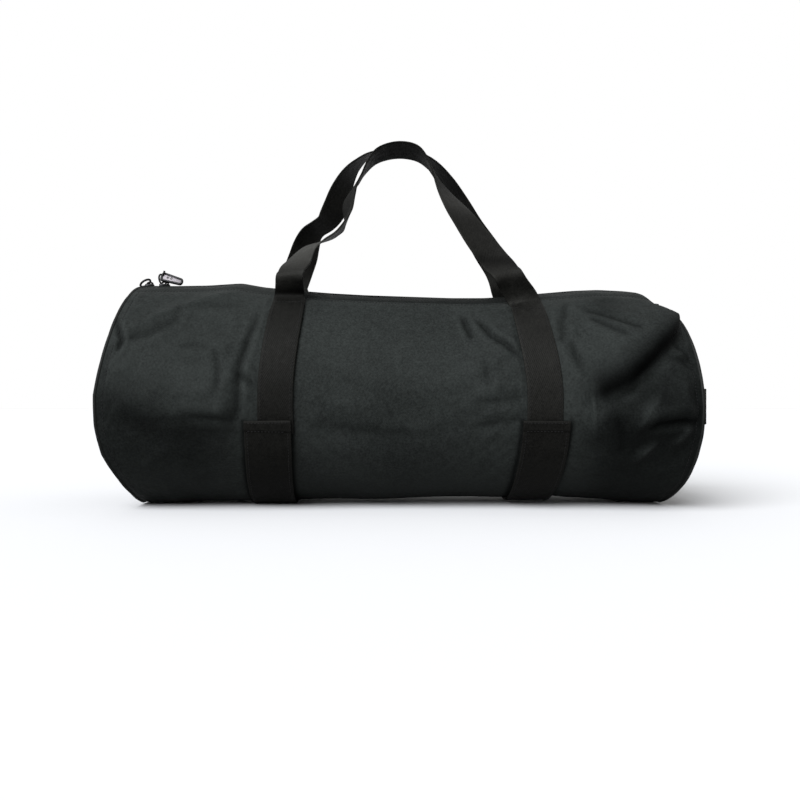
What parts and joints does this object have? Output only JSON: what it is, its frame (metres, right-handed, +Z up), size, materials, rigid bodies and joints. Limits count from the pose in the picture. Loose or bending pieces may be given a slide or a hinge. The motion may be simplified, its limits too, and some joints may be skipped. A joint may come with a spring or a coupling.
{
  "type": "rope storage duffel bag",
  "caption": "Soft barrel duffel for rope, lying on its side, with webbing carry handles, wide base bands, a full-length crown zip and an end grab handle.",
  "frame": {"origin": "middle of the whole object's box, on the surface the bag rests on", "axes": "+X along the bag towards the grab handle end, +Y to the back, +Z up"},
  "size_m": [0.672, 0.2604, 0.4326],
  "materials": {
    "canvas": "dark charcoal coated canvas, plain weave, low sheen",
    "webbing": "black flat-woven polyester webbing",
    "piping": "corded edge wrapped in the same canvas",
    "binding": "folded binding tape",
    "zip_tape": "woven zip tape",
    "zip_teeth": "moulded black zip teeth, slight gloss",
    "slider_metal": "nickel-plated die-cast zip slider, worn bright"
  },
  "bodies": {
    "bag": {"body_panel": "canvas", "left_end_panel": "canvas", "right_end_panel": "canvas", "left_crown_panel": "canvas", "right_crown_panel": "canvas", "left_piping": "piping", "right_piping": "piping", "left_seam_binding": "binding", "right_seam_binding": "binding", "left_zip_end": "zip_tape", "right_zip_end": "zip_tape", "front_left_strap": "webbing", "front_right_strap": "webbing", "rear_left_strap": "webbing", "rear_right_strap": "webbing", "left_base_band": "webbing", "right_base_band": "webbing"},
    "front_lip": {"front_mouth_panel": "canvas", "front_zip_tape": "zip_tape", "front_zip_teeth": "zip_teeth"},
    "rear_lip": {"rear_mouth_panel": "canvas", "rear_zip_tape": "zip_tape", "rear_zip_teeth": "zip_teeth"},
    "left_slider": {"left_slider_body": "slider_metal", "left_slider_bail": "slider_metal"},
    "left_ring": {"left_pull_ring": "slider_metal"},
    "right_slider": {"right_slider_body": "slider_metal", "right_slider_bail": "slider_metal"},
    "right_link": {"right_pull_link": "slider_metal"},
    "right_tab": {"right_pull_tab": "slider_metal"},
    "front_loop": {"front_handle": "webbing"},
    "rear_loop": {"rear_handle": "webbing"},
    "grab_loop": {"grab_handle": "webbing"}
  },
  "joints": [
    {"name": "front_handle_swing", "type": "hinge", "parent": "bag", "child": "front_loop", "pos_m": [-0.0141, -0.0585, 0.2475], "axis": [1, 0, 0], "range_deg": [0, 80]},
    {"name": "rear_handle_swing", "type": "hinge", "parent": "bag", "child": "rear_loop", "pos_m": [-0.0141, 0.0585, 0.2475], "axis": [-1, 0, 0], "range_deg": [0, 80]},
    {"name": "front_lip_open", "type": "hinge", "parent": "bag", "child": "front_lip", "pos_m": [-0.0141, -0.052, 0.2462], "axis": [1, 0, 0], "range_deg": [0, 42]},
    {"name": "rear_lip_open", "type": "hinge", "parent": "bag", "child": "rear_lip", "pos_m": [-0.0141, 0.052, 0.2462], "axis": [1, 0, 0], "range_deg": [-42, 0]},
    {"name": "left_slider_travel", "type": "slide", "parent": "bag", "child": "left_slider", "axis": [1, 0, 0], "range_m": [0, 0.005]},
    {"name": "left_ring_swing", "type": "hinge", "parent": "left_slider", "child": "left_ring", "pos_m": [-0.3126, 0, 0.2583], "axis": [0, 1, 0], "range_deg": [0, 120]},
    {"name": "right_slider_travel", "type": "slide", "parent": "bag", "child": "right_slider", "axis": [1, 0, 0], "range_m": [0, 0.525]},
    {"name": "right_link_swing", "type": "hinge", "parent": "right_slider", "child": "right_link", "pos_m": [-0.2961, 0, 0.2583], "axis": [0, -1, 0], "range_deg": [0, 45]},
    {"name": "right_tab_swing", "type": "hinge", "parent": "right_link", "child": "right_tab", "pos_m": [-0.2976, 0, 0.2698], "axis": [0, -1, 0], "range_deg": [0, 70]},
    {"name": "grab_handle_swing", "type": "hinge", "parent": "bag", "child": "grab_loop", "pos_m": [0.3091, 0, 0.114], "axis": [0, 1, 0], "range_deg": [-14, 14]}
  ],
  "couplings": [
    {"joint": "rear_lip_open", "follows": "front_lip_open", "ratio": -1}
  ]
}
